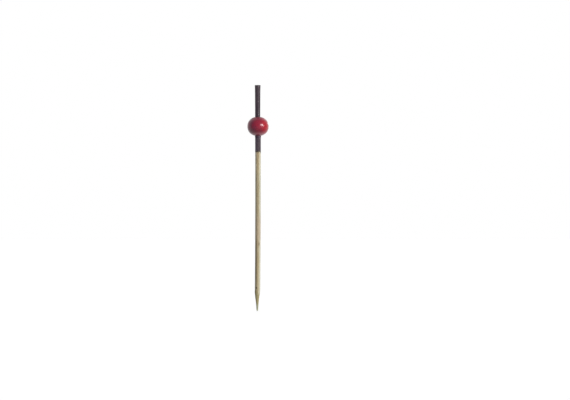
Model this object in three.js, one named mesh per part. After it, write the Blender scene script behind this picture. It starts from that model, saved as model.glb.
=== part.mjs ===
// A finger food pick: a bamboo stick, sharpened below, its upper end dipped in black lacquer,
// with a red lacquered wooden bead glued on the black part.
// Millimetres, +Z up. The origin is the very tip of the point, and the front faces -Y.

import * as THREE from 'three';
import { mergeVertices } from 'three/addons/utils/BufferGeometryUtils.js';

// The whole pick, from the tip to the lacquered top end
const pickLength = 120;

// Bamboo stick, bare wood
const stickDiameter = 2.92; // from the black edge up into the bead
const shoulderDiameter = 2.86; // where the ground point begins
const neckDiameter = 2.68; // where the stick comes out of the top of the bead
const endDiameter = 2.86; // at the square-cut top end
const stubOffset = 0.18; // the length above the bead stands this far to the left of the rest
const bowDepth = 0.35; // the stick is a little bent, so that the rest stands this far right of the tip
const bowLength = 60; // it is straight from this height up
const pointLength = 9.9;
const tipDiameter = 0.9; // the blunt, rounded end of the point
const pointHollow = 1.4; // 1 is a straight cone, and more leaves the point a little hollow
const fibreRelief = 0.03; // depth of the shallow ridges that the fibres leave along the stick
const ridgeCounts = [9, 4]; // two sets of ridges round the stick, which make them uneven

// Black lacquer coat
const coatThickness = 0.05;
const poolThickness = 0.1; // over the cut end, where the lacquer gathered
const poolLength = 3; // the coat swells to the pool over this length
const blackBelowBead = 8.78; // black that shows below the bead
const raggedBand = 2; // the lower edge moves within this much above and below its own height
const edgeRipple = 0.05; // waviness of that edge
const rippleCounts = [5, 8];
const runLength = 0.85; // one run of lacquer below the edge
const runAngle = -5; // degrees round from the right side, where -90 is the middle of the front
const runWidth = 14; // degrees to each side
const notchHeight = 0.3; // one gap in the edge
const notchAngle = -64;
const notchWidth = 10;

// Bead, with its lacquer
const stubLength = 17; // black that shows above the bead
const beadDiameter = 11.38;
const beadHeight = 10.32; // of the whole oval, before the bore takes its two ends off
const beadFullness = 2.16; // 2 is an ellipse, and more is fuller between the ends and the middle
const mouthRounding = 0.3; // rounding where the surface turns into the bore
const lacquerThickness = 0.1;
const lacquerReach = 0.6; // how far the red goes straight down the bore from the rounding
const boreClearance = 0.08; // between the lacquered mouth and the thickest part of the coated stick
const dentDepth = 0.28; // a small nick in the right side
const dentWidth = 0.6; // up and down from its middle
const dentBreadth = 1.9; // forwards and backwards from its middle
const dentHeight = 1.6; // above the middle of the bead

// Glue
const collarLength = 1.5; // squeezed out below the bead
const collarThickness = 0.09; // over the coat, where the squeezed-out glue hangs
const collarRounding = 0.4; // it thins out to nothing over this length

// How finely the round shapes are cut
const segments = 36;
const pointSteps = 7;
const bareSteps = 8;
const boreSteps = 5;
const stubSteps = 4;
const ovalSteps = 22;
const roundingSteps = 3;

// Bead section: an oval whose ends turn into the bore
const ovalHalfWidth = beadDiameter / 2;
const ovalHalfHeight = beadHeight / 2;
const widestStick = Math.max(stickDiameter / 2, neckDiameter / 2 + stubOffset);
const mouthRadius = widestStick + coatThickness + boreClearance;
const boreRadius = mouthRadius + lacquerThickness;

// The height at which the oval of the given half width and half height starts to turn into a hole
function rimHeight(halfWidth, halfHeight, holeRadius) {
  const start = (holeRadius + mouthRounding) / halfWidth;
  return halfHeight * (1 - start ** beadFullness) ** (1 / beadFullness);
}

const lacquerRim = rimHeight(ovalHalfWidth, ovalHalfHeight, mouthRadius);

// Heights along the pick
const woodTop = pickLength - poolThickness;
const beadTop = pickLength - stubLength;
const beadMiddle = beadTop - lacquerRim;
const beadBottom = beadMiddle - lacquerRim;
const blackEdge = beadBottom - blackBelowBead;
const glueTop = beadTop - mouthRounding;
const collarBottom = beadBottom - collarLength;

// The red ends in the bore between these two, measured from the bead's middle
const lipStart = lacquerRim - mouthRounding - lacquerReach;
const lipEnd = lipStart - lacquerThickness;

// Evenly spaced heights from one to another, both included
function heights(from, to, steps) {
  return Array.from({ length: steps + 1 }, (_, i) => from + ((to - from) * i) / steps);
}

const bareHeights = heights(pointLength, blackEdge - raggedBand, bareSteps);
const boreHeights = heights(beadMiddle - lipEnd, beadMiddle + lipEnd, boreSteps);
const glueHeights = [collarBottom, beadBottom, ...boreHeights, glueTop];
const stubHeights = heights(beadTop, woodTop - poolLength, stubSteps);
const blackHeights = [blackEdge, blackEdge + raggedBand, ...glueHeights, ...stubHeights, woodTop];

// Straight from one known value to the next, as [height, value] pairs going up
function between(stations, height) {
  const next = stations.findIndex(([level]) => level > height);
  if (next === -1) return stations[stations.length - 1][1];
  if (next === 0) return stations[0][1];
  const [low, lowValue] = stations[next - 1];
  const [high, highValue] = stations[next];
  return lowValue + ((highValue - lowValue) * (height - low)) / (high - low);
}

function woodRadius(height) {
  const stations = [
    [pointLength, shoulderDiameter / 2],
    [blackEdge - raggedBand, stickDiameter / 2],
    [beadBottom, stickDiameter / 2],
    [beadTop, neckDiameter / 2],
    [woodTop, endDiameter / 2],
  ];
  return between(stations, height);
}

function coatRadius(height) {
  const stations = [
    [woodTop - poolLength, coatThickness],
    [woodTop, poolThickness],
  ];
  return woodRadius(height) + between(stations, height);
}

// The axis of the stick bends right from the tip up and steps to the left inside the bead
function axisOffset(height) {
  const bow = bowDepth * Math.sin((Math.PI / 2) * Math.min(1, height / bowLength));
  const stations = [
    [beadBottom, 0],
    [beadTop, -stubOffset],
  ];
  return bow + between(stations, height);
}

// A smooth hump, 1 at its centre, with the centre and width in degrees round the stick
function hump(angle, centre, width) {
  const away = angle - THREE.MathUtils.degToRad(centre);
  const turn = Math.atan2(Math.sin(away), Math.cos(away));
  return Math.exp(-((turn / THREE.MathUtils.degToRad(width)) ** 2));
}

// How far the black edge lies above its own height at each angle round the stick
function edgeShift(angle) {
  const ripple = Math.sin(rippleCounts[0] * angle + 1) + Math.sin(rippleCounts[1] * angle);
  const run = hump(angle, runAngle, runWidth);
  const notch = hump(angle, notchAngle, notchWidth);
  return edgeRipple * ripple + notchHeight * notch - runLength * run;
}

// Shallow ridges of unequal height, from 0 on a ridge to 1 in the deepest groove
function groove(angle) {
  const narrow = Math.cos(ridgeCounts[0] * angle + 0.7);
  const wide = Math.cos(ridgeCounts[1] * angle + 2);
  return 0.5 + 0.3 * narrow + 0.2 * wide;
}

// A place on the stick and on what covers it
function stickForm(radius, angle, height) {
  const ridged = height >= pointLength ? 1 - (groove(angle) * fibreRelief) / (stickDiameter / 2) : 1;
  const nearEdge = Math.max(0, 1 - Math.abs(height - blackEdge) / raggedBand);
  return [
    radius * ridged * Math.cos(angle) + axisOffset(height),
    radius * ridged * Math.sin(angle),
    height + edgeShift(angle) * nearEdge,
  ];
}

// A place on the bead, which is round but for its nick, and centred on the straight part of the stick
function beadForm(radius, angle, height) {
  const place = new THREE.Vector3(radius * Math.cos(angle), radius * Math.sin(angle), height);
  const away = Math.hypot(place.y / dentBreadth, (height - beadMiddle - dentHeight) / dentWidth);
  const depth = dentDepth * Math.exp(-(away ** 2)) * Math.max(0, place.x / ovalHalfWidth);
  const inwards = new THREE.Vector3(0, 0, beadMiddle).sub(place).setLength(depth);
  place.add(inwards);
  return [place.x + bowDepth, place.y, place.z];
}

const onStick = (radius, height) => ({ radius, height, form: stickForm });
const onBead = (radius, height) => ({ radius, height: beadMiddle + height, form: beadForm });

function signedVolume(geometry) {
  const { index, attributes } = geometry;
  const [a, b, c] = [new THREE.Vector3(), new THREE.Vector3(), new THREE.Vector3()];
  let volume = 0;
  for (let i = 0; i < index.count; i += 3) {
    a.fromBufferAttribute(attributes.position, index.getX(i));
    b.fromBufferAttribute(attributes.position, index.getX(i + 1));
    c.fromBufferAttribute(attributes.position, index.getX(i + 2));
    volume += a.dot(b.cross(c)) / 6;
  }
  return volume;
}

// Leaves out the triangles that lie on the axis and so have no area
function withArea(index) {
  const kept = [];
  for (let i = 0; i < index.count; i += 3) {
    const corners = [index.getX(i), index.getX(i + 1), index.getX(i + 2)];
    if (new Set(corners).size === 3) kept.push(...corners);
  }
  return kept;
}

// Turns a section about the axis, then puts each point where its form says
function revolve(section) {
  const points = section.map(({ radius, height }) => new THREE.Vector2(radius, height));
  const turned = new THREE.LatheGeometry(points, segments);
  turned.deleteAttribute('normal');
  turned.deleteAttribute('uv');
  for (let i = 0; i < turned.attributes.position.count; i += 1) {
    const { radius, height, form } = section[i % section.length];
    const step = Math.floor(i / section.length) % segments;
    turned.attributes.position.setXYZ(i, ...form(radius, (2 * Math.PI * step) / segments, height));
  }
  const geometry = mergeVertices(turned);
  geometry.setIndex(withArea(geometry.index));
  if (signedVolume(geometry) < 0) {
    geometry.setIndex(Array.from(geometry.index.array).reverse());
  }
  geometry.computeVertexNormals();
  return geometry;
}

// The oval from one mouth of the bore round to the other, going up
function ovalSection(halfWidth, halfHeight, holeRadius) {
  const start = holeRadius + mouthRounding;
  const rim = rimHeight(halfWidth, halfHeight, holeRadius);
  const slope = (halfHeight / halfWidth) ** beadFullness * (start / rim) ** (beadFullness - 1);
  const upper = new THREE.QuadraticBezierCurve(
    new THREE.Vector2(start, rim),
    new THREE.Vector2(holeRadius, rim + slope * mouthRounding),
    new THREE.Vector2(holeRadius, rim - mouthRounding),
  ).getPoints(roundingSteps);
  const turn = Math.acos((start / halfWidth) ** (beadFullness / 2));
  const side = heights(-turn, turn, ovalSteps).map((angle) => {
    const across = Math.cos(angle) ** (2 / beadFullness);
    const up = Math.sign(angle) * Math.abs(Math.sin(angle)) ** (2 / beadFullness);
    return new THREE.Vector2(halfWidth * across, halfHeight * up);
  });
  const lower = upper.map(({ x, y }) => new THREE.Vector2(x, -y)).reverse();
  return [...lower.slice(0, -1), ...side, ...upper.slice(1)].map(({ x, y }) => onBead(x, y));
}

const coreSection = ovalSection(
  ovalHalfWidth - lacquerThickness,
  ovalHalfHeight - lacquerThickness,
  boreRadius,
);
const lacquerSection = ovalSection(ovalHalfWidth, ovalHalfHeight, mouthRadius);
const boreSection = boreHeights.map((height) => onBead(boreRadius, height - beadMiddle));

function stickSection() {
  const tip = new THREE.EllipseCurve(0, tipDiameter / 2, tipDiameter / 2, tipDiameter / 2, -Math.PI / 2, 0);
  const tipPoints = tip.getPoints(roundingSteps).map(({ x, y }) => onStick(x, y));
  tipPoints[0].radius = 0;
  const pointPoints = heights(tipDiameter / 2, pointLength, pointSteps).slice(1, -1).map((height) => {
    const along = (height - tipDiameter / 2) / (pointLength - tipDiameter / 2);
    const radius = tipDiameter / 2 + ((shoulderDiameter - tipDiameter) / 2) * along ** pointHollow;
    return onStick(radius, height);
  });
  const sidePoints = [...bareHeights, ...blackHeights].map((height) => onStick(woodRadius(height), height));
  return [...tipPoints, ...pointPoints, ...sidePoints, onStick(0, woodTop)];
}

function coatSection() {
  const endRadius = coatRadius(woodTop) - poolThickness;
  const rounding = new THREE.EllipseCurve(0, 0, poolThickness, poolThickness, Math.PI / 2, 0, true);
  const roundingPoints = rounding
    .getPoints(roundingSteps)
    .map(({ x, y }) => onStick(endRadius + x, woodTop + y));
  const outside = blackHeights.map((height) => onStick(coatRadius(height), height)).reverse();
  const inside = blackHeights.map((height) => onStick(woodRadius(height), height));
  return [onStick(0, pickLength), ...roundingPoints, ...outside.slice(1), ...inside, onStick(0, woodTop)];
}

function coreRing() {
  return [...coreSection, ...boreSection.slice().reverse(), coreSection[0]];
}

function lacquerRing() {
  const inside = [onBead(boreRadius, -lipEnd), ...coreSection, onBead(boreRadius, lipEnd)];
  const outside = [onBead(mouthRadius, -lipStart), ...lacquerSection, onBead(mouthRadius, lipStart)];
  return [...inside, ...outside.reverse(), inside[0]];
}

function glueRing() {
  const coated = glueHeights.map((height) => onStick(coatRadius(height), height));
  const collarHeight = collarBottom + collarRounding;
  const lowerMouth = [-lacquerRim, -lacquerRim + mouthRounding, -lipStart];
  const upperMouth = [lipStart, lacquerRim - mouthRounding];
  const outside = [
    onStick(coatRadius(collarHeight) + collarThickness, collarHeight),
    ...lowerMouth.map((height) => onBead(mouthRadius, height)),
    ...boreSection,
    ...upperMouth.map((height) => onBead(mouthRadius, height)),
  ];
  return [coated[0], ...outside, ...coated.slice().reverse()];
}

function piece(name, section, color, roughness) {
  const material = new THREE.MeshStandardMaterial({ color, roughness, metalness: 0 });
  const mesh = new THREE.Mesh(revolve(section), material);
  mesh.name = name;
  return mesh;
}

const pick = new THREE.Group();
pick.add(piece('bamboo_stick', stickSection(), 0xd9c69c, 0.6));
pick.add(piece('black_lacquer_coat', coatSection(), 0x2a252a, 0.35));
pick.add(piece('bead_wood_core', coreRing(), 0xe0cda6, 0.7));
pick.add(piece('bead_red_lacquer', lacquerRing(), 0xae1226, 0.15));
pick.add(piece('bead_glue', glueRing(), 0xd8c48e, 0.3));

export default pick;
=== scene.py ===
import math
import random

import bmesh
import bpy
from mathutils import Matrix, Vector, noise


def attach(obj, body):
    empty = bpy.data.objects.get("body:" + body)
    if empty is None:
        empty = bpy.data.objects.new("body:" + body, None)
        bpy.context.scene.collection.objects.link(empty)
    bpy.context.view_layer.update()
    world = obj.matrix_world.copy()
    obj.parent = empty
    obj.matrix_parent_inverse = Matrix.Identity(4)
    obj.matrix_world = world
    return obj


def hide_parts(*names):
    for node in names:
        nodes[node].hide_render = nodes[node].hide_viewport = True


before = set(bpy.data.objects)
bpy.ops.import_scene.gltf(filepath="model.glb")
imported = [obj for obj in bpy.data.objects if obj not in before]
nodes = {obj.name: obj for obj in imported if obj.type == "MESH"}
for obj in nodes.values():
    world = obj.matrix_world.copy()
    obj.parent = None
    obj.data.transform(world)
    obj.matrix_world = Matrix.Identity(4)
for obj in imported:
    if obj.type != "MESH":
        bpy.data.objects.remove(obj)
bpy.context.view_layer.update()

# A finger food pick: a bamboo stick, its upper end dipped in black lacquer, with a glossy red bead.
# Lengths in the dictionaries are millimetres and mm turns them into Blender's metres.
# The origin is the tip of the point, +Z runs up the stick, and the front faces -Y.

mm = 0.001
print("frame loaded:", sorted(nodes))


# Studio

studio = dict(
    keyTurn=49,  # degrees to the right of the camera
    keyHeight=12.5,  # degrees above the horizon
    keyLevel=0.74,  # what a white surface that faces it gives back, 1 is white
    keySoftness=15,  # degrees across, as seen from the pick
    sideLamps=[  # turn, height, level and softness of the weak lamps that the bead shows beside the key
        (31, 12, 0.15, 14),
        (63, 3, 0.045, 6),
        (40, -9, 0.03, 8),
        (150, 40, 0.03, 30),
        (180, 25, 0.14, 10),
    ],
    backTurn=205,
    backHeight=35,
    backLevel=0.32,
    backSoftness=40,
    ambient=0.2,  # from the horizon
    ambientAbove=0.5,
    floorSide=4000,
    floorColour=0.35,
    floorSeen=0.8,  # its colour for the camera, so that the shadow shows on it
    floorLight=0.82,  # how bright a white floor would be, and the rest up to white is added
    frontLevel=0.27,  # how white the room behind the camera is in a reflection
    frontTurn=12,  # degrees right of the camera where it is dimmest
    frontSky=(0.5, -0.45),  # where the sky starts and ends to dim towards it, as parts of a direction
    frontFloor=(30, -80),  # where the floor does so
)

view = dict(
    lens=135,
    sensor=36,
    distance=1137,
    side=14.72,  # the pick stands left of the middle of the picture
    height=58.94,
    clip=(10, 50000),  # nearest and farthest that the camera shows
)


def addNode(tree, kind, inputs=None, **settings):
    # links the inputs that come from another node and sets the others
    node = tree.nodes.new("ShaderNode" + kind)
    for name, value in settings.items():
        setattr(node, name, value)
    for name, value in (inputs or {}).items():
        if isinstance(value, bpy.types.NodeSocket):
            tree.links.new(value, node.inputs[name])
        else:
            node.inputs[name].default_value = value
    return node


def maths(tree, operation, first, second, clamp=False):
    return addNode(tree, "Math", {0: first, 1: second}, operation=operation, use_clamp=clamp).outputs[0]


def mixColour(tree, factor, first, second, blend="MIX"):
    inputs = {0: factor, 6: first, 7: second}
    settings = dict(data_type="RGBA", blend_type=blend, clamp_factor=True)
    return addNode(tree, "Mix", inputs, **settings).outputs[2]


def ranged(tree, value, fromMin, fromMax, toMin=0.0, toMax=1.0, smooth=True):
    inputs = {"Value": value, "From Min": fromMin, "From Max": fromMax, "To Min": toMin, "To Max": toMax}
    kind = "SMOOTHSTEP" if smooth else "LINEAR"
    return addNode(tree, "MapRange", inputs, interpolation_type=kind).outputs[0]


def awayFromFront(tree, xyz):
    # how far a place or a direction lies towards the back of the room
    turn = math.radians(studio["frontTurn"])
    inwards = maths(tree, "MULTIPLY", xyz[1], math.cos(turn))
    return maths(tree, "SUBTRACT", inwards, maths(tree, "MULTIPLY", xyz[0], math.sin(turn)))


def seenDirectly(tree, xyz, near, far):
    # 1 for rays from the camera or through glass, and in mirrors less of it towards the front of the room
    backwards = awayFromFront(tree, xyz)
    path = addNode(tree, "LightPath").outputs
    through = maths(tree, "MAXIMUM", path["Is Camera Ray"], path["Is Transmission Ray"])
    level = ranged(tree, backwards, near, far, 1.0, studio["frontLevel"])
    return maths(tree, "MAXIMUM", through, maths(tree, "MULTIPLY", path["Is Glossy Ray"], level))


def addSun(name, turn, height, level, softness):
    turn, height = math.radians(turn), math.radians(height)
    outwards = math.cos(height)
    towards = Vector((math.sin(turn) * outwards, -math.cos(turn) * outwards, math.sin(height)))
    bpy.ops.object.light_add(type="SUN", location=towards)
    lamp = bpy.context.object
    lamp.name = name
    lamp.rotation_euler = towards.to_track_quat("Z", "Y").to_euler()
    lamp.data.energy = level * math.pi
    lamp.data.angle = math.radians(softness)
    return lamp


bpy.ops.object.select_all(action="DESELECT")
scene = bpy.context.scene
scene.view_settings.view_transform = "Standard"

world = bpy.data.worlds.new("paleRoom")
scene.world = world
world.use_nodes = True
world.node_tree.nodes.clear()
tree = world.node_tree
facing = addNode(tree, "SeparateXYZ", {0: addNode(tree, "TexCoord").outputs["Generated"]}).outputs
above = ranged(tree, facing[2], 0.0, 1.0, studio["ambient"], studio["ambientAbove"], smooth=False)
notMirrored = maths(tree, "SUBTRACT", 1.0, addNode(tree, "LightPath").outputs["Is Glossy Ray"])
above = maths(tree, "MULTIPLY", above, notMirrored)
lift = maths(tree, "MAXIMUM", above, seenDirectly(tree, facing, *studio["frontSky"]))
sky = addNode(tree, "Background", {"Color": (1, 1, 1, 1), "Strength": lift})
addNode(tree, "OutputWorld", {"Surface": sky.outputs[0]})

addSun("keyLight", studio["keyTurn"], studio["keyHeight"], studio["keyLevel"], studio["keySoftness"])
for number, (turn, height, level, softness) in enumerate(studio["sideLamps"]):
    addSun("sideLight%d" % (number + 1), turn, height, level, softness)
backPlace = (studio["backTurn"], studio["backHeight"])
backLamp = addSun("backLight", *backPlace, studio["backLevel"], studio["backSoftness"])
backLamp.visible_glossy = False

cameraPlace = (view["side"] * mm, -view["distance"] * mm, view["height"] * mm)
bpy.ops.object.camera_add(location=cameraPlace, rotation=(math.pi / 2, 0, 0))
camera = bpy.context.object
camera.name = "camera"
camera.data.lens = view["lens"]
camera.data.sensor_width = view["sensor"]
camera.data.clip_start = view["clip"][0] * mm
camera.data.clip_end = view["clip"][1] * mm
scene.camera = camera

bpy.ops.mesh.primitive_plane_add(size=studio["floorSide"] * mm)
floor = bpy.context.object
floor.name = "floor"
floorMaterial = bpy.data.materials.new("paleFloor")
floorMaterial.use_nodes = True
tree = floorMaterial.node_tree
tree.nodes.clear()
fromCamera = addNode(tree, "LightPath").outputs["Is Camera Ray"]
grey = ranged(tree, fromCamera, 0.0, 1.0, studio["floorColour"], studio["floorSeen"], smooth=False)
paint = addNode(tree, "BsdfDiffuse", {"Color": grey})
onFloor = addNode(tree, "SeparateXYZ", {0: addNode(tree, "TexCoord").outputs["Object"]}).outputs
nearFloor, farFloor = studio["frontFloor"]
missing = maths(tree, "SUBTRACT", 1.0, maths(tree, "MULTIPLY", grey, studio["floorLight"]))
lift = maths(tree, "MULTIPLY", seenDirectly(tree, onFloor, nearFloor * mm, farFloor * mm), missing)
glow = addNode(tree, "Emission", {"Color": (1, 1, 1, 1), "Strength": lift})
both = addNode(tree, "AddShader", {0: paint.outputs[0], 1: glow.outputs[0]})
addNode(tree, "OutputMaterial", {"Surface": both.outputs[0]})
floor.data.materials.append(floorMaterial)
print("studio set")


# Shared shapes

# Sizes of the stick and of the bead's place on it, the CAD's within about 0.03 mm, apart from the lean
wood = dict(
    length=119.9,
    shoulder=9.9,
    shoulderRadius=1.44,
    shoulderStep=0.01,  # how much wider the round stick is there than the ground point
    tipRadius=0.45,
    pointHollow=1.4,
    pointLean=0.1,  # how far the point's middle is worn to the left
    leanHeight=7,
    leanReach=3,
    blackEdge=84.386,
    blackEdgeRadius=1.475,
    beadBottom=93.166,
    beadTop=103.0,
    neckRadius=1.325,
    stub=[(108, 1.335), (113, 1.375)],  # height and radius on the way up to the end
    endRadius=1.43,
    stubOffset=0.18,
    bow=0.35,  # how far the rest stands right of the tip
    bowLength=60,
)


def between(stations, value):
    # straight from one known value to the next, as (place, value) pairs going up
    for (low, lowValue), (high, highValue) in zip(stations, stations[1:]):
        if value <= high:
            share = max(0.0, (value - low) / (high - low))
            return lowValue + (highValue - lowValue) * share
    return stations[-1][1]


def smoothStep(low, high, value):
    share = min(1.0, max(0.0, (value - low) / (high - low)))
    return share * share * (3 - 2 * share)


def coneRadius(height):
    # the ground point, which would go on widening above the shoulder
    along = max(0.0, (height - wood["tipRadius"]) / (wood["shoulder"] - wood["tipRadius"]))
    return wood["tipRadius"] + (wood["shoulderRadius"] - wood["tipRadius"]) * along ** wood["pointHollow"]


def barRadius(height):
    # the round stick before it was ground
    stations = [
        (wood["shoulder"], wood["shoulderRadius"] + wood["shoulderStep"]),
        (wood["blackEdge"], wood["blackEdgeRadius"]),
        (wood["beadBottom"], wood["blackEdgeRadius"]),
        (wood["beadTop"], wood["neckRadius"]),
        *wood["stub"],
        (wood["length"], wood["endRadius"]),
    ]
    return between(stations, height)


def axisOffset(height):
    # the axis bends right from the tip up and steps to the left inside the bead
    bow = wood["bow"] * math.sin(math.pi / 2 * min(1.0, max(0.0, height) / wood["bowLength"]))
    lean = wood["pointLean"] * math.exp(-(((height - wood["leanHeight"]) / wood["leanReach"]) ** 2))
    step = between([(wood["beadBottom"], 0.0), (wood["beadTop"], -wood["stubOffset"])], height)
    return bow - lean + step


def roundNoise(angle, height, around, along, seed):
    # smooth noise that closes round the stick, about -1 to 1
    place = Vector((math.cos(angle) * around, math.sin(angle) * around + seed, height * along))
    return noise.noise(place)


relief = dict(
    depth=0.015,  # on average
    ridges=[(9, 0.009, 0.7), (4, 0.006, 2)],  # number round the stick, height and start in radians
    fibres=[(5.5, 0.035, 0.009, 0), (12, 0.09, 0.006, 40)],  # fineness around and along, height, seed
)


def groove(angle, height):
    # depth of the fibre relief: the ridges of the CAD, and finer fibres between them
    depth = relief["depth"]
    for count, rise, start in relief["ridges"]:
        depth += rise * math.cos(count * angle + start)
    for around, along, rise, seed in relief["fibres"]:
        depth += rise * roundNoise(angle, height, around, along, seed)
    return max(0.0, depth)


def hump(angle, centre, width):
    # 1 at its centre, with the centre and width in degrees round the stick
    away = angle - math.radians(centre)
    turn = math.atan2(math.sin(away), math.cos(away))
    return math.exp(-((turn / math.radians(width)) ** 2))


# Modelling helpers

quarterTurn = [math.radians(15 * step) for step in range(1, 7)]  # the angles that round a corner
sameSpot = 0.001  # what lies nearer than this, in mm, counts as one height
mergeWithin = 0.0005
cutWithin = 0.0001
smoothBelow = 38  # sharper edges than this, in degrees, stay sharp


def startPiece(name):
    piece = bpy.context.object
    piece.name = name
    piece.data.name = name
    bpy.ops.object.mode_set(mode="EDIT")
    bpy.ops.mesh.select_mode(type="VERT")
    return piece


def pickVerts(piece, test):
    # selects the vertices that pass the test, given in mm
    bpy.ops.mesh.select_mode(type="VERT")
    bpy.ops.mesh.select_all(action="DESELECT")
    mesh = bmesh.from_edit_mesh(piece.data)
    for vert in mesh.verts:
        vert.select = test(vert.co / mm)
    mesh.select_flush(True)
    bmesh.update_edit_mesh(piece.data)


def pickUprights(piece, low, high):
    # selects the edges that run up between two heights
    bpy.ops.mesh.select_mode(type="EDGE")
    bpy.ops.mesh.select_all(action="DESELECT")
    mesh = bmesh.from_edit_mesh(piece.data)
    for edge in mesh.edges:
        bottom, top = sorted(vert.co.z / mm for vert in edge.verts)
        rises = top - bottom > sameSpot
        edge.select = rises and bottom > low - sameSpot and top < high + sameSpot
    bmesh.update_edit_mesh(piece.data)


def growRing(fromPoint, toPoint):
    # extrudes the selected ring from one (radius, height) to the next
    rise = (toPoint[1] - fromPoint[1]) * mm
    factor = toPoint[0] / fromPoint[0]
    bpy.ops.mesh.extrude_region_move(TRANSFORM_OT_translate={"value": (0, 0, rise)})
    bpy.ops.transform.resize(value=(factor, factor, 1), center_override=(0, 0, toPoint[1] * mm))


def growThrough(rings):
    # extrudes the selected first ring through all the others
    for fromPoint, toPoint in zip(rings, rings[1:]):
        growRing(fromPoint, toPoint)


def closeRing():
    bpy.ops.mesh.extrude_region_move(TRANSFORM_OT_translate={"value": (0, 0, 0)})
    bpy.ops.mesh.merge(type="CENTER")


def startRing(name, segments, ring):
    # a circle of the ring's (radius, height), selected and ready to grow
    bpy.ops.object.select_all(action="DESELECT")
    location = (0, 0, ring[1] * mm)
    bpy.ops.mesh.primitive_circle_add(
        vertices=segments, radius=ring[0] * mm, fill_type="NOTHING", location=location
    )
    bpy.ops.object.transform_apply(location=True, rotation=True, scale=True)
    piece = startPiece(name)
    bpy.ops.mesh.select_all(action="SELECT")
    return piece


def addRings(piece, rings, spacing):
    # cuts the stretches between the rings into shorter ones, to carry the fibres
    levels = [height for _, height in rings]
    for low, high in zip(levels, levels[1:]):
        cuts = round((high - low) / spacing) - 1
        if cuts > 0:
            pickUprights(piece, low, high)
            bpy.ops.mesh.subdivide(number_cuts=cuts)


def cleanUp():
    bpy.ops.mesh.select_all(action="SELECT")
    bpy.ops.mesh.remove_doubles(threshold=mergeWithin * mm)
    bpy.ops.mesh.normals_make_consistent(inside=False)


def finishPiece(piece, body, material, replaced):
    piece.data.materials.clear()
    piece.data.materials.append(material)
    bpy.ops.object.select_all(action="DESELECT")
    piece.select_set(True)
    bpy.context.view_layer.objects.active = piece
    bpy.ops.object.shade_smooth_by_angle(angle=math.radians(smoothBelow))
    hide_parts(replaced)
    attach(piece, body)
    piece.select_set(False)
    print(piece.name, len(piece.data.polygons), "faces")


def setAttribute(piece, name, values):
    layer = piece.data.attributes.new(name, "FLOAT", "POINT")
    layer.data.foreach_set("value", values)


def addWall(piece, thickness):
    # a modifier, still to be applied, that thickens a surface inwards
    bpy.context.view_layer.objects.active = piece
    wall = piece.modifiers.new("wall", "SOLIDIFY")
    wall.thickness = thickness * mm
    wall.offset = -1
    return wall


# Material helpers

def linear(text):
    # "d9c69c" to the shader's own scale, fully opaque
    parts = [int(text[i : i + 2], 16) / 255 for i in (0, 2, 4)]
    return tuple(p / 12.92 if p <= 0.04045 else ((p + 0.055) / 1.055) ** 2.4 for p in parts) + (1.0,)


def placeInMm(tree):
    # where each point of the piece is, in mm
    coords = addNode(tree, "TexCoord").outputs["Object"]
    return addNode(tree, "VectorMath", {0: coords, "Scale": 1 / mm}, operation="SCALE").outputs[0]


def clouds(tree, place, scale, detail, **others):
    # soft noise, 0 to 1
    inputs = {"Vector": place, "Scale": scale, "Detail": detail, **others}
    return addNode(tree, "TexNoise", inputs).outputs[0]


def bumps(tree, height, strength, depth):
    inputs = {"Strength": strength, "Distance": depth * mm, "Height": height}
    return addNode(tree, "Bump", inputs).outputs[0]


def product(tree, first, *others):
    for other in others:
        first = maths(tree, "MULTIPLY", first, other)
    return first


def tint(tree, colour, mask, text):
    # lays a written colour over what is there, as strongly as the mask says
    return mixColour(tree, mask, colour, linear(text))


def tintWithin(tree, colour, xyz, row, *masks):
    # a row holds a colour, its strength, and for each side the axis and where it starts and is full
    text, strength, sides = row
    edges = [ranged(tree, xyz[axis], start, full) for axis, start, full in sides]
    return tint(tree, colour, product(tree, strength, *edges, *masks), text)


def bandColours(tree, value, stops):
    # blends smoothly through the colours of a list of (place, colour)
    colour = linear(stops[0][1])
    for (low, _), (high, after) in zip(stops, stops[1:]):
        colour = tint(tree, colour, ranged(tree, value, low, high), after)
    return colour


def startMaterial(name):
    material = bpy.data.materials.new(name)
    material.use_nodes = True
    material.node_tree.nodes.clear()
    return material, material.node_tree


def closeMaterial(tree, surface):
    shader = addNode(tree, "BsdfPrincipled", surface)
    addNode(tree, "OutputMaterial", {"Surface": shader.outputs[0]})


def startGroup(name, inputs, output):
    group = bpy.data.node_groups.new(name, "ShaderNodeTree")
    for label, kind, value in inputs:
        socket = group.interface.new_socket(label, in_out="INPUT", socket_type="NodeSocket" + kind)
        socket.default_value = value
    group.interface.new_socket(output, in_out="OUTPUT", socket_type="NodeSocketFloat")
    return group, group.nodes.new("NodeGroupInput").outputs


def closeGroup(group, value):
    end = group.nodes.new("NodeGroupOutput")
    group.links.new(value, end.inputs[0])


def useGroup(tree, group, **inputs):
    return addNode(tree, "Group", inputs, node_tree=group).outputs[0]


# Shared node groups

# Streaks that run up the pick, as fibres do: 0 to 1, 0.5 on average
grain, given = startGroup(
    "fibreGrain",
    [
        ("Place", "Vector", (0, 0, 0)),
        ("Width", "Float", 0.3),
        ("Length", "Float", 12.0),
        ("Contrast", "Float", 1.0),
        ("Offset", "Float", 0.0),
    ],
    "Streak",
)
across = maths(grain, "DIVIDE", 1.0, given["Width"])
along = maths(grain, "DIVIDE", 1.0, given["Length"])
stretch = addNode(grain, "CombineXYZ", {0: across, 1: across, 2: along}).outputs[0]
stretched = addNode(grain, "VectorMath", {0: given["Place"], 1: stretch}, operation="MULTIPLY").outputs[0]
moved = addNode(grain, "VectorMath", {0: stretched, 1: given["Offset"]}, operation="ADD").outputs[0]
centred = maths(grain, "SUBTRACT", clouds(grain, moved, 1.0, 2.5, Roughness=0.55), 0.5)
spread = {0: centred, 1: given["Contrast"], 2: 0.5}
closeGroup(grain, addNode(grain, "Math", spread, operation="MULTIPLY_ADD", use_clamp=True).outputs[0])

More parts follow.
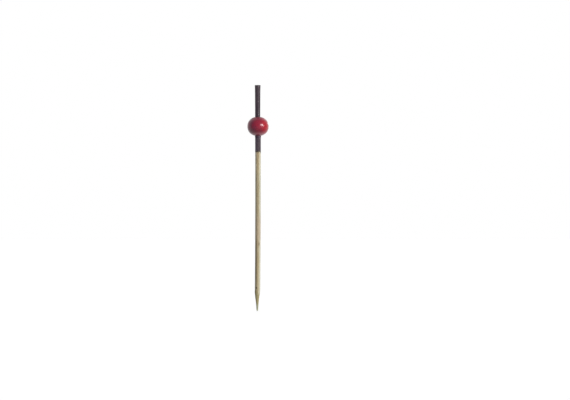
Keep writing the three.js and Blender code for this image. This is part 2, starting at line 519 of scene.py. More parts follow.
# A soft oval spot at one place: 1 in its middle, 0 outside
spot, given = startGroup(
    "spot",
    [
        ("Place", "Vector", (0, 0, 0)),
        ("Centre", "Vector", (0, 0, 0)),
        ("Size", "Vector", (1, 1, 1)),
        ("Ragged", "Float", 0.3),
    ],
    "Mask",
)
away = addNode(spot, "VectorMath", {0: given["Place"], 1: given["Centre"]}, operation="SUBTRACT").outputs[0]
scaled = addNode(spot, "VectorMath", {0: away, 1: given["Size"]}, operation="DIVIDE").outputs[0]
reach = addNode(spot, "VectorMath", {0: scaled}, operation="LENGTH").outputs["Value"]
fuzz = maths(spot, "SUBTRACT", clouds(spot, given["Place"], 3.0, 3.0), 0.5)
reach = maths(spot, "ADD", reach, product(spot, fuzz, given["Ragged"], 3.0))
closeGroup(spot, ranged(spot, reach, 1.0, 0.35))

# Dust and finger marks on a glossy finish, 0 where it is clean
handling, given = startGroup(
    "handling",
    [("Place", "Vector", (0, 0, 0)), ("Marks", "Float", 0.5), ("Dust", "Float", 0.2)],
    "Mask",
)
smears = clouds(handling, given["Place"], 0.45, 4.0, Roughness=0.6, Distortion=0.8)
smears = maths(handling, "MULTIPLY", ranged(handling, smears, 0.48, 0.72), given["Marks"])
grit = clouds(handling, given["Place"], 5.0, 1.0)
grit = maths(handling, "MULTIPLY", ranged(handling, grit, 0.72, 0.8), given["Dust"])
closeGroup(handling, maths(handling, "ADD", smears, grit, clamp=True))
print("shared node groups made")


def addSpots(tree, colour, place, spots, ragged, text):
    # lays soft spots of one colour over what is there, each a place, a size and a strength
    for centre, size, strength in spots:
        mask = useGroup(tree, spot, Place=place, Centre=centre, Size=size, Ragged=ragged)
        colour = tint(tree, colour, maths(tree, "MULTIPLY", mask, strength), text)
    return colour


# Bamboo stick

bamboo = dict(
    segments=160,
    tipRings=[(0.13, 0.02), (0.24, 0.07), (0.335, 0.15), (0.4, 0.25), (0.44, 0.38)],  # radius and height
    tipCap=[(0.05, 0.004), (0.02, 0.001)],  # of the rings that close it
    coneSpacing=0.5,
    conePast=1,  # how far above the shoulder rings go on at that spacing
    barStart=12.0,  # height of the first ring above the ground face
    barSpacing=0.55,
    edgeRing=1.5,  # rings this far below and above the edge of the black
    endChamfer=0.04,
    endRing=0.7,  # radius of one more ring on the cut end
    flats=7,  # shallow flats that grinding left round the point
    flatDepth=0.025,
    flatStart=1.0,  # in radians
    flatTwist=0.25,  # how much they turn for each mm up
    flatFade=(1.0, 5.0),  # heights where they start and are full
    groundReach=2,  # how far above the shoulder the ground face may still cut the stick
    groundRagged=1.0,  # how unevenly the ground face ends, in mm along the stick
    groundTilt=1.5,  # it reaches higher on the left by this much
    groundFade=(-0.5, 1.0),  # heights from the shoulder where its colour starts to end and is gone
    tears=22,  # places where a fibre was torn out
    tearHeight=(12, 82),
    tearLength=(1.5, 5),
    tearWidth=(3, 6),  # in degrees
    tearDepth=(0.02, 0.045),
    seed=11,
    across=[  # colour by distance right of the axis, with painted light: the left flank is lightened against its shade, the right edge darkened a little against the key light
        (-1.3, "d2c9b3"),
        (-0.95, "eee3c9"),
        (-0.57, "c1ad84"),
        (0.0, "c1ae8c"),
        (0.4, "bcac84"),
        (0.85, "dfd6bd"),
        (1.25, "d3ccb3"),
    ],
    along=[  # what that is multiplied by, by height
        (12, "eaecec"),
        (34, "eaebeb"),
        (50, "e5e8ea"),
        (70, "e3e8e9"),
        (77, "f2f3f2"),
        (84, "eeebe8"),
    ],
    straw="a59c80",
    olive="9c8c62",
    bleached="d9ceb2",
    heart="978c58",  # inside of the cane, seen on the ground point
    dark="5a4a34",
    pink=("b8a68c", 0.6, [("Z", 34, 40), ("Z", 52, 47)]),  # colour, strength, where it starts and is full
    tip=("a0a389", 0.85, [("Z", 4.2, 2.4)]),
    marks=[  # place, size and strength of dark spots
        ((0.85, -1.15, 35.5), (0.6, 0.7, 1.4), 0.55),  # a knot
        ((-0.5, -1.1, 12.3), (0.8, 0.9, 0.85), 0.85),  # a scorched patch
        ((0.0, -1.4, 80.3), (0.5, 0.6, 2.4), 0.15),  # two stains
        ((0.75, -1.3, 81.7), (0.3, 0.5, 1.4), 0.15),
        ((-0.65, -1.0, 25.0), (0.62, 1.5, 22.0), 0.7),  # a browner side
        ((0.3, -1.4, 84.2), (1.6, 1.4, 1.2), 0.18),  # along the edge of the black
    ],
)


def barkMaterial():
    material, tree = startMaterial("bareBamboo")
    place = placeInMm(tree)
    xyz = addNode(tree, "SeparateXYZ", {0: place}).outputs
    bands = useGroup(tree, grain, Place=place, Width=0.42, Length=38.0, Contrast=2.4, Offset=7.0)
    fibres = useGroup(tree, grain, Place=place, Width=0.11, Length=9.0, Contrast=2.2, Offset=21.0)
    vessels = useGroup(tree, grain, Place=place, Width=0.16, Length=5.0, Contrast=2.0, Offset=33.0)
    blotches = useGroup(tree, grain, Place=place, Width=0.55, Length=3.5, Contrast=2.2, Offset=45.0)

    # pale at the sides with a browner stripe between them, shifted a little by the bow; partly painted
    # light, as the left flank is lightened against its shade and the right edge darkened against the key
    # light
    bow = ranged(tree, xyz["Z"], 0.0, wood["bowLength"], 0.0, wood["bow"], smooth=False)
    side = maths(tree, "SUBTRACT", xyz["X"], bow)
    side = maths(tree, "ADD", side, ranged(tree, bands, 0.2, 0.8, -0.15, 0.15))
    side = maths(tree, "ADD", side, ranged(tree, blotches, 0.1, 0.9, -0.16, 0.16))
    colour = bandColours(tree, side, bamboo["across"])
    colour = mixColour(tree, 1.0, colour, bandColours(tree, xyz["Z"], bamboo["along"]), "MULTIPLY")
    colour = tint(tree, colour, ranged(tree, bands, 0.55, 0.95, 0.0, 0.4), bamboo["olive"])
    colour = tint(tree, colour, ranged(tree, blotches, 0.6, 0.9, 0.0, 0.35), bamboo["bleached"])
    colour = tint(tree, colour, ranged(tree, blotches, 0.35, 0.05, 0.0, 0.3), bamboo["olive"])
    colour = tintWithin(tree, colour, xyz, bamboo["pink"])

    # fine fibres and the dark ends of the vessels
    colour = tint(tree, colour, ranged(tree, fibres, 0.5, 0.1, 0.0, 0.22), bamboo["dark"])
    colour = tint(tree, colour, ranged(tree, vessels, 0.74, 0.9, 0.0, 0.5), bamboo["dark"])
    colour = addSpots(tree, colour, place, bamboo["marks"], 0.25, bamboo["dark"])

    # the ground point shows the inside of the cane and is grey at its very tip
    ground = addNode(tree, "Attribute", attribute_name="ground").outputs["Fac"]
    inside = tint(tree, linear(bamboo["heart"]), ranged(tree, fibres, 0.35, 0.7), bamboo["straw"])
    colour = mixColour(tree, ground, colour, inside)
    colour = tintWithin(tree, colour, xyz, bamboo["tip"])

    rough = ranged(tree, fibres, 0.2, 0.8, 0.78, 0.66, smooth=False)
    rough = maths(tree, "ADD", rough, maths(tree, "MULTIPLY", ground, 0.1))
    pits = maths(tree, "MULTIPLY", vessels, -0.3)
    bump = bumps(tree, maths(tree, "ADD", maths(tree, "MULTIPLY", fibres, 0.7), pits), 0.5, 0.03)
    surface = {"Base Color": colour, "Roughness": rough, "Specular IOR Level": 0.4, "Normal": bump}
    closeMaterial(tree, surface)
    return material


def shapeStick():
    rings = list(bamboo["tipRings"])
    start = rings[0]
    piece = startRing("bambooStick", bamboo["segments"], start)

    # up from the tip: point, bare length, and the part inside the bead and under the black
    spacing, edge = bamboo["coneSpacing"], wood["blackEdge"]
    steps = math.ceil((wood["shoulder"] + bamboo["conePast"]) / spacing)
    rings += [(coneRadius(step * spacing), step * spacing) for step in range(1, steps)]
    levels = [bamboo["barStart"], edge - bamboo["edgeRing"], edge + bamboo["edgeRing"]]
    levels += [wood["beadBottom"], wood["beadTop"]]
    rings += [(barRadius(height), height) for height in levels]
    rings.append((wood["endRadius"], wood["length"] - bamboo["endChamfer"]))
    rings.append((wood["endRadius"] - bamboo["endChamfer"], wood["length"]))
    growThrough([*rings, (bamboo["endRing"], wood["length"])])
    closeRing()
    pickVerts(piece, lambda place: place.z < start[1] + sameSpot)
    growThrough([start, *bamboo["tipCap"]])
    closeRing()
    addRings(piece, rings, bamboo["barSpacing"])
    cleanUp()
    bpy.ops.object.mode_set(mode="OBJECT")
    return piece


def torn(tears, angle, height):
    depth = 0.0
    for tear in tears:
        up = abs(height - tear["height"]) / tear["length"]
        if up < 1:
            across = hump(angle, tear["angle"], tear["width"])
            depth = max(depth, tear["depth"] * across * (1 - up * up))
    return depth


def roughenStick(piece):
    # pushes in the fibre relief, the torn fibres and the flats of the point, and marks the ground face
    draw = random.Random(bamboo["seed"])
    tears = [
        dict(
            angle=draw.uniform(-180, 180),
            height=draw.uniform(*bamboo["tearHeight"]),
            length=draw.uniform(*bamboo["tearLength"]),
            width=draw.uniform(*bamboo["tearWidth"]),
            depth=draw.uniform(*bamboo["tearDepth"]),
        )
        for _ in range(bamboo["tears"])
    ]
    fadeStart, fadeEnd = (wood["shoulder"] + away for away in bamboo["groundFade"])
    ground = []
    for vert in piece.data.vertices:
        place = vert.co / mm
        height, angle = place.z, math.atan2(place.y, place.x)
        radius = math.hypot(place.x, place.y)
        top = height > wood["length"] - bamboo["endChamfer"] / 2
        if height < wood["tipRadius"] or top:
            ground.append(0.0 if top else 1.0)
        else:
            turn = bamboo["flats"] * angle + bamboo["flatStart"] + bamboo["flatTwist"] * height
            flat = (0.5 - 0.5 * math.cos(turn)) * smoothStep(*bamboo["flatFade"], height)
            cone = coneRadius(height) - bamboo["flatDepth"] * flat
            bar = barRadius(max(height, wood["shoulder"])) - groove(angle, height)
            bar -= torn(tears, angle, height)
            radius = min(cone, bar) if height < wood["shoulder"] + bamboo["groundReach"] else bar
            uneven = height + bamboo["groundRagged"] * roundNoise(angle, 0, 1.8, 1, 13)
            uneven += bamboo["groundTilt"] * math.cos(angle)
            ground.append(1 - smoothStep(fadeStart, fadeEnd, uneven))
        vert.co.x = (radius * math.cos(angle) + axisOffset(height)) * mm
        vert.co.y = radius * math.sin(angle) * mm
    setAttribute(piece, "ground", ground)


stickPiece = shapeStick()
roughenStick(stickPiece)
finishPiece(stickPiece, "root", barkMaterial(), "bamboo_stick")


# Black lacquer coat

coat = dict(
    segments=160,
    film=0.042,
    wall=0.04,  # thickness of its mesh, a little less, so that it stays off the wood
    wallLeast=0.1,  # share of that where the film's own share is 0
    feather=0.5,  # the film thins out over this height at its lower edge
    featherLeast=0.12,  # share of the film at the very edge
    leastHeight=0.008,  # how much its surface stands off the wood at least
    reliefLeft=0.6,  # share of the grooves that shows through the full film
    waviness=0.006,
    bare=(0.1, 1.0),  # heights above the edge between which the wood stops showing through
    pool=0.1,  # over the cut end
    poolLength=3.0,
    poolRing=1.0,  # one ring this far below the cut end
    corner=0.09,  # rounding of the pool's corner
    dimple=[(1.1, 0.004), (0.85, 0.018), (0.5, 0.034), (0.2, 0.04)],  # radius and depth of its rings
    edgeRipples=[(5, 0.04, 1), (8, 0.04, 0)],  # number round the stick, height and start in radians
    edgeFingers=[(6, 0.04, 3), (15, 0.06, 9)],  # fineness, height and seed
    edgeHumps=[(-86, 8, -0.12), (-55, 9, 0.3), (-5, 14, -1.05)],  # angle, width and rise: tongue, gap, run
    band=2.0,  # how far up the film follows its edge
    spacing=0.35,
    lumps=[  # angle, height, width and thickness of small drops
        (-66, 103.55, 0.24, 0.035),
        (-64, 104.5, 0.26, 0.045),
        (-66, 105.4, 0.24, 0.035),
        (-65, 106.2, 0.22, 0.025),
        (-68, 111.8, 0.4, 0.025),
        (-60, 111.3, 0.3, 0.025),
        (-64, 119.2, 0.32, 0.035),
    ],
    lumpRadius=1.35,  # where they sit, which turns their width into an angle
    black="3c333c",
    plum="4a3d46",
    tints=[  # colour, strength, and the sides where it starts and is full
        ("5d505c", 1.0, [("X", -0.2, -0.8)]),  # the left flank, lightened: painted light against its shade
        ("62576a", 1.0, [("Z", 95.0, 92.0), ("X", 0.2, -0.8)]),  # bluer below the bead, on its left
        ("6e6068", 0.12, [("Z", 95.0, 92.0)]),  # a little paler there all round
        ("6e6068", 0.5, [("Z", 118.0, 118.7), ("X", 0.0, -0.7)]),  # worn at the top left
    ],
    paintedStreak=("483c42", 1.0, [("X", 0.35, 0.55), ("X", 1.45, 1.0), ("Y", 0.0, -0.6)]),  # painted highlight: a lighter, warmer streak where the key light's reflection runs down the front right
    # painted shade: the right edge of the stub, darkened
    shadedRightEdge=("221b21", 0.6, [("Z", 100.0, 104.0), ("Z", 118.0, 114.0), ("X", 0.8, 1.2)]),
    topEdge=("221b21", 0.85, [("Z", 119.45, 119.75)]),
    endDull=(119.85, 119.95),  # heights between which the gloss ends on the cut end
    fibre="64555a",
    gap="221b21",  # between the fibres
    dust="8a8280",
    thin="5a5644",  # where the wood shows through
    # the colour of the painted glints and highlight
    glintColour="a89fa1",
    paintedGlints=[  # place, size and strength of painted glints on the drops and the rim, and of a painted highlight below the bead
        ((0.77, -1.3, 103.5), (0.2, 0.35, 0.2), 0.6),
        ((0.76, -1.3, 104.45), (0.22, 0.35, 0.24), 0.85),
        ((0.77, -1.3, 105.4), (0.2, 0.35, 0.22), 0.65),
        ((0.77, -1.3, 106.3), (0.18, 0.35, 0.2), 0.45),
        ((0.6, -1.35, 111.4), (0.55, 0.5, 0.35), 0.25),
        ((0.75, -1.25, 119.35), (0.5, 0.5, 0.3), 0.45),
        ((1.15, -1.0, 91.5), (0.45, 0.8, 0.4), 0.2),
    ],
)


def lacquerEdge(angle):
    # how far the lower edge lies above its usual height at this angle
    rise = sum(height * math.sin(count * angle + start) for count, height, start in coat["edgeRipples"])
    for fineness, height, seed in coat["edgeFingers"]:
        rise += height * roundNoise(angle, 0, fineness, 1, seed)
    for centre, width, height in coat["edgeHumps"]:
        rise += height * hump(angle, centre, width)
    return rise


def coatMaterial():
    material, tree = startMaterial("blackLacquer")
    place = placeInMm(tree)
    xyz = addNode(tree, "SeparateXYZ", {0: place}).outputs
    broad = useGroup(tree, grain, Place=place, Width=0.9, Length=14.0, Contrast=2.6, Offset=3.0)
    fibres = useGroup(tree, grain, Place=place, Width=0.19, Length=9.0, Contrast=2.8, Offset=11.0)
    patches = useGroup(tree, grain, Place=place, Width=0.35, Length=3.0, Contrast=2.6, Offset=27.0)
    marks = useGroup(tree, handling, Place=place, Marks=0.6, Dust=0.5)
    colour = tint(tree, linear(coat["black"]), ranged(tree, broad, 0.3, 0.75), coat["plum"])
    # the left flank's tint is painted light, lightening the shaded side
    for row in coat["tints"]:
        colour = tintWithin(tree, colour, xyz, row)
    # the painted highlight streak on the front right, broken up by patches
    colour = tintWithin(tree, colour, xyz, coat["paintedStreak"], ranged(tree, patches, 0.2, 0.55, 0.15, 0.85))
    # painted shade down the stub's right edge
    colour = tintWithin(tree, colour, xyz, coat["shadedRightEdge"])
    colour = tint(tree, colour, ranged(tree, fibres, 0.55, 0.95, 0.0, 0.5), coat["fibre"])
    colour = tint(tree, colour, ranged(tree, fibres, 0.45, 0.1, 0.0, 0.7), coat["gap"])
    colour = tint(tree, colour, maths(tree, "MULTIPLY", marks, 0.12), coat["dust"])
    # painted glints on the drops and the rim, and a painted highlight below the bead
    colour = addSpots(tree, colour, place, coat["paintedGlints"], 0.15, coat["glintColour"])
    colour = tintWithin(tree, colour, xyz, coat["topEdge"])

    # the wood shows through where the film runs out
    thin = addNode(tree, "Attribute", attribute_name="thin").outputs["Fac"]
    colour = tint(tree, colour, maths(tree, "MULTIPLY", thin, 0.85), coat["thin"])

    rough = ranged(tree, fibres, 0.2, 0.8, 0.62, 0.5, smooth=False)
    rough = maths(tree, "ADD", rough, maths(tree, "MULTIPLY", marks, 0.15))
    rough = maths(tree, "ADD", rough, ranged(tree, xyz["Z"], *coat["endDull"], 0.0, 0.3))
    ripples = maths(tree, "MULTIPLY", clouds(tree, place, 1.1, 2.0), 0.8)
    bump = bumps(tree, maths(tree, "ADD", maths(tree, "MULTIPLY", fibres, 0.9), ripples), 0.6, 0.04)
    surface = {"Base Color": colour, "Roughness": rough, "Specular IOR Level": 0.2, "Normal": bump}
    closeMaterial(tree, surface)
    return material


def shapeCoat():
    edge, top = wood["blackEdge"], wood["length"] + coat["pool"]
    levels = [edge, edge + coat["band"], wood["beadBottom"], wood["beadTop"]]
    levels += [wood["length"] - coat["poolLength"], wood["length"] - coat["poolRing"], top - coat["corner"]]
    rings = [(barRadius(height), height) for height in levels]
    piece = startRing("blackCoat", coat["segments"], rings[0])

    # over the pool's rounded shoulder to its flat top, which has a shallow dimple
    endRadius, corner = wood["endRadius"] + coat["pool"], coat["corner"]
    over = []
    for turn in quarterTurn:
        over.append((endRadius - corner * (1 - math.cos(turn)), top - corner * (1 - math.sin(turn))))
    over += [(radius, top - depth) for radius, depth in coat["dimple"]]
    growThrough(rings + over)
    closeRing()
    addRings(piece, rings, coat["spacing"])
    cleanUp()
    bpy.ops.object.mode_set(mode="OBJECT")
    return piece


def dropHeight(angle, height):
    # how much the small drops add to the film at this place
    added = 0.0
    for centre, middle, width, thick in coat["lumps"]:
        up = (height - middle) / width
        if abs(up) < 3:
            turn = math.degrees(width / coat["lumpRadius"])
            added += thick * hump(angle, centre, turn) * math.exp(-up * up)
    return added


def pourCoat(piece):
    # puts the film on the wood's relief, gives it its ragged edge and its drops
    edge, film, thin = wood["blackEdge"], [], []
    for vert in piece.data.vertices:
        place = vert.co / mm
        height, angle = place.z, math.atan2(place.y, place.x)
        radius = math.hypot(place.x, place.y)
        shift = lacquerEdge(angle) * max(0.0, 1 - (height - edge) / coat["band"])
        least = coat["featherLeast"]
        fade = least + (1 - least) * smoothStep(0, coat["feather"], height - edge)
        film.append(fade)
        thin.append(1 - smoothStep(*coat["bare"], height - edge))
        if height < wood["length"] + coat["pool"] - coat["corner"] + sameSpot:
            gathered = smoothStep(wood["length"] - coat["poolLength"], wood["length"], height)
            thickness = coat["film"] * fade + (coat["pool"] - coat["film"]) * gathered
            relieved = barRadius(height) - groove(angle, height)
            filled = groove(angle, height) * (1 - coat["reliefLeft"]) * fade
            radius = relieved + filled + thickness
            radius += coat["waviness"] * roundNoise(angle, height, 2.2, 0.9, 17) * fade
            radius += dropHeight(angle, height)
            radius = max(radius, relieved + coat["leastHeight"])
        vert.co.x = (radius * math.cos(angle) + axisOffset(height)) * mm
        vert.co.y = radius * math.sin(angle) * mm
        vert.co.z = (height + shift) * mm
    setAttribute(piece, "thin", thin)
    group = piece.vertex_groups.new(name="thickness")
    for index, value in enumerate(film):
        group.add([index], value, "REPLACE")

    wall = addWall(piece, coat["wall"])
    wall.vertex_group = "thickness"
    wall.thickness_vertex_group = coat["wallLeast"]
    bpy.ops.object.modifier_apply(modifier="wall")


coatPiece = shapeCoat()
pourCoat(coatPiece)
finishPiece(coatPiece, "root", coatMaterial(), "black_lacquer_coat")


# Red bead lacquer

bead = dict(
    segments=176,
    rings=112,
    radius=5.687,
    halfHeight=5.157,
    fullness=2.16,  # 2 is an ellipse
    middle=98.083,
    mouth=1.65,
    rounding=0.3,
    bulge=0.125,  # how much fuller than an arc that rounding is
    reach=0.6,  # how far the red goes down the bore
    flare=0.04,  # how much wider it ends there
    evenFilm=0.05,  # the film is even up to this far from the bore's wall
    film=0.085,
    nickDepth=0.31,
    nickWidth=0.48,  # up and down from its middle
    nickBreadth=1.9,  # forwards and backwards from its middle
    nickHeight=1.6,  # above the middle of the bead
    lumps=[(0.012, 5.2, (3, 1, 7)), (0.02, 8, (9, 4, 2))],  # unevenness: height, fineness and seed
    topCoatRoughness=0.085,
    across=[  # colour by distance right of the axis, darker on the left: painted shade
        (-4.5, "7a1a40"),
        (0.5, "922038"),
        (5.0, "aa1626"),
    ],
    acrossCloud=1.2,  # how far clouds in the dye shift that
    bright="b0142a",
    deep="601226",  # a deeper red: dark flecks, painted shade low down and towards the left, and darker round the top
    shadeBelow=(-0.3, -3.0),  # heights from the bead's middle where the painted shade below starts and is full
    deepEnd=(-5.0, -3.1),  # towards the lower mouth, where it is nearly gone and still full
    deepAbove=(1.5, 4.5),
    deepSide=(4.5, 0.8),  # how far right of the axis it is weak and is full
    inMouth="7c4650",
    mouthFrom=(4.6, 2.6),  # how far from the axis this starts and is full
    under="b86c78",  # paler below
    underFrom=(-2.6, -4.4),
    dust="d8b0ac",
)


def beadMaterial():
    material, tree = startMaterial("redLacquer")
    place = placeInMm(tree)
    cloud = clouds(tree, place, 0.35, 2.0, Roughness=0.45)
    flecks = clouds(tree, place, 1.3, 2.0)
    marks = useGroup(tree, handling, Place=place, Marks=0.5, Dust=0.6)
    centred = addNode(tree, "Mapping", {"Vector": place, "Location": (-wood["bow"], 0, 0)}).outputs[0]
    xyz = addNode(tree, "SeparateXYZ", {0: centred}).outputs
    # painted shade: the red darkens towards the left, with the change shifted by clouds
    shift = ranged(tree, cloud, 0.3, 0.7, -bead["acrossCloud"], bead["acrossCloud"])
    colour = bandColours(tree, maths(tree, "ADD", xyz["X"], shift), bead["across"])
    colour = tint(tree, colour, ranged(tree, flecks, 0.5, 0.75, 0.0, 0.5), bead["bright"])
    colour = tint(tree, colour, ranged(tree, flecks, 0.48, 0.25, 0.0, 0.4), bead["deep"])
    # painted shade: deeper red low down, weaker on the lit right and fading near the lower mouth; also
    # darker round the top
    up = maths(tree, "SUBTRACT", xyz["Z"], bead["middle"])
    below = ranged(tree, up, *bead["shadeBelow"], 0.0, 0.65)
    below = maths(tree, "MULTIPLY", below, ranged(tree, up, *bead["deepEnd"], 0.1, 1.0))
    gathered = maths(tree, "ADD", below, ranged(tree, up, *bead["deepAbove"], 0.0, 0.5))
    gathered = maths(tree, "MULTIPLY", gathered, ranged(tree, xyz["X"], *bead["deepSide"], 0.35, 1.0))
    colour = tint(tree, colour, gathered, bead["deep"])
    colour = tint(tree, colour, maths(tree, "MULTIPLY", marks, 0.015), bead["dust"])

    # paler and greyer where the film turns into the bore
    across = addNode(tree, "CombineXYZ", {0: xyz["X"], 1: xyz["Y"]}).outputs[0]
    fromAxis = addNode(tree, "VectorMath", {0: across}, operation="LENGTH").outputs["Value"]
    atMouth = ranged(tree, fromAxis, *bead["mouthFrom"])
    colour = tint(tree, colour, maths(tree, "MULTIPLY", atMouth, 0.6), bead["inMouth"])
    colour = tint(tree, colour, ranged(tree, up, *bead["underFrom"], 0.0, 0.45), bead["under"])

    # the top coat is thinnest round the upper mouth, and duller where it was touched
    dulled = maths(tree, "MULTIPLY", atMouth, ranged(tree, up, 0.0, 3.0, 0.3, 1.0))
    topCoat = ranged(tree, dulled, 0.1, 0.9, 0.55, 0.06)
    topCoat = maths(tree, "SUBTRACT", topCoat, maths(tree, "MULTIPLY", marks, 0.08), clamp=True)
    rough = ranged(tree, dulled, 0.0, 1.0, 0.31, 0.6)
    bump = bumps(tree, clouds(tree, place, 1.8, 2.5), 0.55, 0.02)
    surface = {"Base Color": colour, "Roughness": rough, "Specular IOR Level": 0.22, "Normal": bump}
    surface.update({"Coat Weight": topCoat, "Coat Normal": bump})
    surface["Coat Roughness"] = bead["topCoatRoughness"]
    closeMaterial(tree, surface)
    return material


def beadRim():
    # radius, and height from the middle, where the bead's surface starts to turn into the bore
    radius = bead["mouth"] + bead["rounding"]
    return radius, bead["halfHeight"] * math.sqrt(1 - (radius / bead["radius"]) ** 2)


def shapeBead():
    middle = bead["middle"]
    bpy.ops.object.select_all(action="DESELECT")
    bpy.ops.mesh.primitive_uv_sphere_add(
        segments=bead["segments"],
        ring_count=bead["rings"],
        radius=bead["radius"] * mm,
        location=(0, 0, middle * mm),
    )
    bpy.ops.object.transform_apply(location=True, rotation=True, scale=True)
    piece = startPiece("redBead")
    bpy.ops.mesh.select_all(action="SELECT")
    flattened = bead["halfHeight"] / bead["radius"]
    bpy.ops.transform.resize(value=(1, 1, flattened), center_override=(0, 0, middle * mm))

    # the caps come off at the rims, and the surface goes on from there into the bore
    turnIn, rim = beadRim()
    for side in (1, -1):
        bpy.ops.mesh.select_all(action="SELECT")
        bpy.ops.mesh.bisect(
            plane_co=(0, 0, (middle + side * rim) * mm),
            plane_no=(0, 0, side),
            clear_outer=True,
            threshold=cutWithin * mm,
        )
        pickVerts(piece, lambda place: side * (place.z - middle) > rim - sameSpot)
        rings = [(turnIn, middle + side * rim)]
        for turn in quarterTurn:
            radius = bead["mouth"] + bead["rounding"] * (1 - math.sin(turn))
            drop = bead["rounding"] * (1 - math.cos(turn) - bead["bulge"] * math.sin(turn * 2))
            rings.append((radius, middle + side * (rim - drop)))
        for wider in (0.0, bead["flare"]):
            rings.append((bead["mouth"] + wider, rings[-1][1] - side * bead["reach"] / 2))
        growThrough(rings)
    cleanUp()
    bpy.ops.object.mode_set(mode="OBJECT")
    return piece


def fuller(across, up):
    # how much further out the bead's outline lies than the oval's, in this direction
    across, up = across / bead["radius"], up / bead["halfHeight"]
    power = bead["fullness"]
    return math.hypot(across, up) / (across ** power + up ** power) ** (1 / power)


def dipBead(piece):
    # fuller than an oval, with a slightly uneven film and a nick on the right that one knock left
    middle = Vector((0, 0, bead["middle"]))
    turnIn, rim = beadRim()
    for vert in piece.data.vertices:
        place = vert.co / mm - middle
        outwards = place.normalized()
        across = math.hypot(place.x, place.y)
        if across > turnIn - sameSpot:
            place *= fuller(across, abs(place.z))
        else:
            place.z *= fuller(turnIn, rim)
        if across > bead["mouth"] + bead["evenFilm"]:
            upwards = (place.z - bead["nickHeight"]) / bead["nickWidth"]
            aside = math.hypot(place.y / bead["nickBreadth"], upwards)
            nick = math.exp(-aside * aside) * max(0.0, place.x / bead["radius"])
            lumps = 0.0
            for rise, fineness, seed in bead["lumps"]:
                lumps += rise * (0.5 + 0.5 * noise.noise(outwards * fineness + Vector(seed)))
            place -= outwards * (bead["nickDepth"] * nick + lumps * (1 - nick))
        place.x += wood["bow"]
        vert.co = (place + middle) * mm
    addWall(piece, bead["film"])
    bpy.ops.object.modifier_apply(modifier="wall")


beadPiece = shapeBead()
dipBead(beadPiece)
finishPiece(beadPiece, "root", beadMaterial(), "bead_red_lacquer")


# Glue

glue = dict(
    segments=96,
    collar=1.5,  # squeezed out below the bead
    thickness=0.12,  # over the coat, where it hangs
    swell=[(0.2, 0.12), (0.5, 0.3), (0.8, 0.55), (1.0, 1.0)],  # share of that, by height above its end
    offCoat=0.004,
    offBead=0.01,
    turnIn=0.1,  # it turns into the bore from this much below the bead's end to this much above
    turnInset=0.02,
    boreCuts=8,
    sink=0.3,  # its upper end stands this much below the bead's top
    endEdge=0.05,  # bevel of that end
    endHollow=0.08,
    endCreep=(0.03, 0.02),  # width of its climb up the coat, and how far below the end that stops
    outside=0.01,  # what lies further than this off the coat is its outside
    hang=0.3,  # how unevenly the collar hangs
    waviness=0.012,
    colour="443543",
    red="5e3a46",
    redFrom=(-0.1, 0.7),  # heights from the bead's lower end where this starts and is full
    # the colour of the painted highlight on the collar
    pale="8c8292",
    smears=[((1.2, -1.0, 92.0), (0.55, 0.9, 0.55), 0.55)],  # place, size and strength of a painted highlight, a paler patch on the collar's right
)


def glueMaterial():
    material, tree = startMaterial("hardGlue")
    place = placeInMm(tree)
    cloud = clouds(tree, place, 1.4, 3.0)
    marks = useGroup(tree, handling, Place=place, Marks=0.4, Dust=0.8)
    height = addNode(tree, "SeparateXYZ", {0: place}).outputs["Z"]
    low, high = (wood["beadBottom"] + away for away in glue["redFrom"])
    reddened = ranged(tree, maths(tree, "ADD", height, cloud), low, high)
    colour = tint(tree, linear(glue["colour"]), reddened, glue["red"])
    # a painted highlight on the right of the collar
    colour = addSpots(tree, colour, place, glue["smears"], 0.5, glue["pale"])
    rough = maths(tree, "ADD", 0.42, maths(tree, "MULTIPLY", marks, 0.3))
    bump = bumps(tree, cloud, 0.4, 0.03)
    surface = {"Base Color": colour, "Roughness": rough, "Specular IOR Level": 0.25, "Normal": bump}
    closeMaterial(tree, surface)
    return material


def onCoat(height):
    return barRadius(height) + coat["film"] + glue["offCoat"]


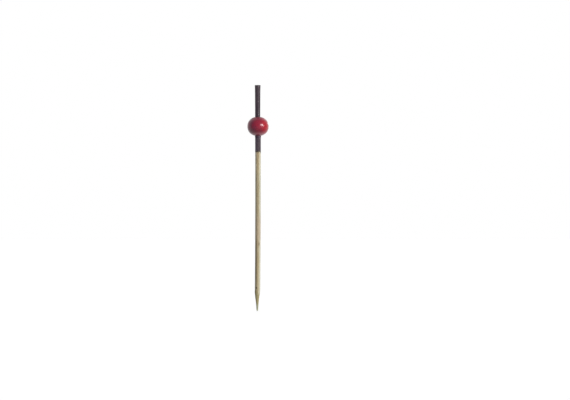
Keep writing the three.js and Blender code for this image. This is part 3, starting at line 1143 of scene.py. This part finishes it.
def shapeGlue():
    # a ring turned round the coated stick: collar below, the gap in the bore, a hollow top
    bottom, inset = wood["beadBottom"], glue["turnInset"]
    low, high = bottom - glue["collar"], wood["beadTop"] - glue["sink"]
    mouth = bead["mouth"] - glue["offBead"]
    creepWidth, creepDepth = glue["endCreep"]
    start = (onCoat(low), low)
    piece = startRing("glueRing", glue["segments"], start)
    collar = [(onCoat(low) + share * glue["thickness"], low + rise) for share, rise in glue["swell"]]
    outside = [(mouth - inset, bottom - glue["turnIn"]), (mouth, bottom + glue["turnIn"]), (mouth, high)]
    top = [
        (mouth - glue["endEdge"], high - glue["endEdge"]),
        (onCoat(high) + creepWidth, high - glue["endHollow"]),
        (onCoat(high), high - creepDepth),
    ]
    growThrough([start, *collar, *outside, *top, (onCoat(bottom), bottom), start])
    pickUprights(piece, bottom + glue["turnIn"] / 2, high)
    bpy.ops.mesh.subdivide(number_cuts=glue["boreCuts"])
    cleanUp()
    bpy.ops.object.mode_set(mode="OBJECT")
    return piece


def squeezeGlue(piece):
    # the collar hangs unevenly, and the glue follows the stick, or the bead where it touches the bore
    low = wood["beadBottom"] - glue["collar"]
    for vert in piece.data.vertices:
        place = vert.co / mm
        height, angle = place.z, math.atan2(place.y, place.x)
        radius = math.hypot(place.x, place.y)
        onOutside = radius - barRadius(height) - coat["film"] > glue["outside"]
        hanging = 1 - smoothStep(low, wood["beadBottom"], height)
        place.z += glue["hang"] * hanging * (0.5 + roundNoise(angle, 0, 1.6, 1, 5))
        if onOutside and hanging > 0.02:
            radius += glue["waviness"] * roundNoise(angle, height, 2.5, 1.2, 8)
            place.x, place.y = radius * math.cos(angle), radius * math.sin(angle)
        place.x += axisOffset(place.z) if not onOutside or hanging > 0 else wood["bow"]
        vert.co = place * mm


gluePiece = shapeGlue()
squeezeGlue(gluePiece)
finishPiece(gluePiece, "root", glueMaterial(), "bead_glue")


# Bead core, which keeps its CAD shape

turned = dict(
    pale="e3d2ac",
    line="c9ad7c",
    pore="8d6d43",
)


def coreMaterial():
    material, tree = startMaterial("turnedWood")
    place = placeInMm(tree)
    lines = useGroup(tree, grain, Place=place, Width=0.7, Length=11.0, Contrast=2.0, Offset=2.0)
    pores = useGroup(tree, grain, Place=place, Width=0.12, Length=1.6, Contrast=2.2, Offset=5.0)
    colour = tint(tree, linear(turned["pale"]), lines, turned["line"])
    colour = tint(tree, colour, ranged(tree, pores, 0.7, 0.95, 0.0, 0.5), turned["pore"])
    rough = ranged(tree, pores, 0.2, 0.8, 0.75, 0.6)
    closeMaterial(tree, {"Base Color": colour, "Roughness": rough, "Normal": bumps(tree, pores, 0.4, 0.05)})
    return material


core = nodes["bead_wood_core"]
core.data.materials.clear()
core.data.materials.append(coreMaterial())
print("bead core finished")
